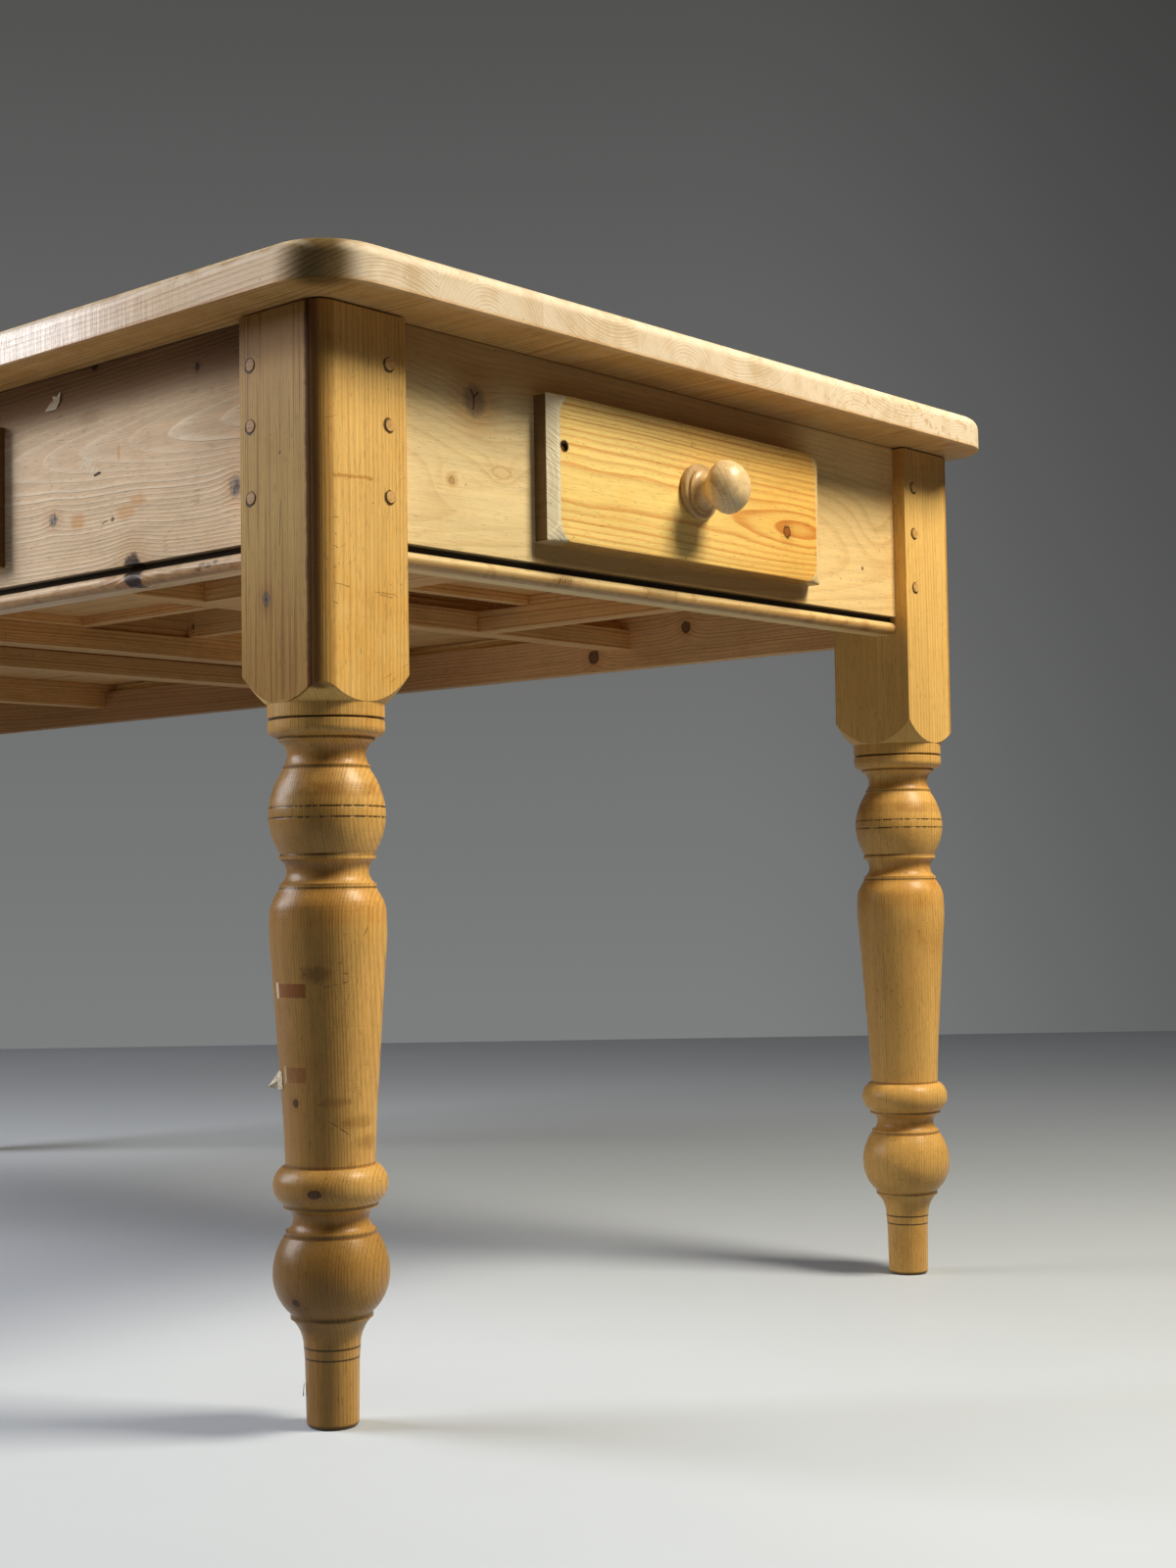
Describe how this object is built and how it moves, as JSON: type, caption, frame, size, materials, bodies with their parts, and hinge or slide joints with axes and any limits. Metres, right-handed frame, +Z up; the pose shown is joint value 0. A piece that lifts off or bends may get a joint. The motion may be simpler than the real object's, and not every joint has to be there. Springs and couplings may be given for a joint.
{
  "type": "kitchen table with drawers",
  "caption": "Rectangular pine kitchen table on turned legs, with pegged beaded aprons and lipped drawers with mushroom knobs sliding out of the end and both long sides.",
  "frame": {"origin": "on the floor, midway between the four legs, under the table", "axes": "+X along the table towards the end with the drawer, +Y across it towards the side with the narrow overhang, +Z up"},
  "size_m": [1.7067, 0.8614, 0.76],
  "materials": {
    "top_pine": "sanded and waxed pine, worn edges, end grain on the short edges",
    "leg_pine": "turned pine, honey wax, darker in the hollows",
    "apron_pine": "planed pine with knots, thin wax",
    "drawer_front_pine": "orange-gold waxed pine with strong figure",
    "knob_wood": "turned close-grained wood, satin wax",
    "peg_wood": "end grain of the pegs",
    "inner_pine": "bare planed pine"
  },
  "bodies": {
    "table": {"apron_far": "apron_pine", "apron_left": "apron_pine", "apron_near": "apron_pine", "apron_right": "apron_pine", "cross_rail_1": "inner_pine", "cross_rail_2": "inner_pine", "cross_rail_3": "inner_pine", "cross_rail_4": "inner_pine", "drawer_guides": "inner_pine", "drawer_kickers": "inner_pine", "end_runner_far": "inner_pine", "end_runner_near": "inner_pine", "glue_blocks": "inner_pine", "joint_pegs": "peg_wood", "leg_far_left": "leg_pine", "leg_far_right": "leg_pine", "leg_near_left": "leg_pine", "leg_near_right": "leg_pine", "top_board_1": "top_pine", "top_board_2": "top_pine", "top_board_3": "top_pine", "top_board_4": "top_pine", "top_board_5": "top_pine", "top_board_6": "top_pine", "top_board_7": "top_pine", "top_board_8": "top_pine"},
    "end_drawer": {"end_drawer_back": "inner_pine", "end_drawer_bottom": "inner_pine", "end_drawer_front": "drawer_front_pine", "end_drawer_knob": "knob_wood", "end_drawer_side_left": "inner_pine", "end_drawer_side_right": "inner_pine"},
    "near_right_drawer": {"near_right_drawer_back": "inner_pine", "near_right_drawer_bottom": "inner_pine", "near_right_drawer_front": "drawer_front_pine", "near_right_drawer_knob": "knob_wood", "near_right_drawer_side_left": "inner_pine", "near_right_drawer_side_right": "inner_pine"},
    "near_left_drawer": {"near_left_drawer_back": "inner_pine", "near_left_drawer_bottom": "inner_pine", "near_left_drawer_front": "drawer_front_pine", "near_left_drawer_knob": "knob_wood", "near_left_drawer_side_left": "inner_pine", "near_left_drawer_side_right": "inner_pine"},
    "far_right_drawer": {"far_right_drawer_back": "inner_pine", "far_right_drawer_bottom": "inner_pine", "far_right_drawer_front": "drawer_front_pine", "far_right_drawer_knob": "knob_wood", "far_right_drawer_side_left": "inner_pine", "far_right_drawer_side_right": "inner_pine"},
    "far_left_drawer": {"far_left_drawer_back": "inner_pine", "far_left_drawer_bottom": "inner_pine", "far_left_drawer_front": "drawer_front_pine", "far_left_drawer_knob": "knob_wood", "far_left_drawer_side_left": "inner_pine", "far_left_drawer_side_right": "inner_pine"}
  },
  "joints": [
    {"name": "end_drawer_slide", "type": "slide", "parent": "table", "child": "end_drawer", "axis": [1, 0, 0], "range_m": [0, 0.25]},
    {"name": "near_right_drawer_slide", "type": "slide", "parent": "table", "child": "near_right_drawer", "axis": [0, -1, 0], "range_m": [0, 0.25]},
    {"name": "near_left_drawer_slide", "type": "slide", "parent": "table", "child": "near_left_drawer", "axis": [0, -1, 0], "range_m": [0, 0.25]},
    {"name": "far_right_drawer_slide", "type": "slide", "parent": "table", "child": "far_right_drawer", "axis": [0, 1, 0], "range_m": [0, 0.25]},
    {"name": "far_left_drawer_slide", "type": "slide", "parent": "table", "child": "far_left_drawer", "axis": [0, 1, 0], "range_m": [0, 0.25]}
  ]
}
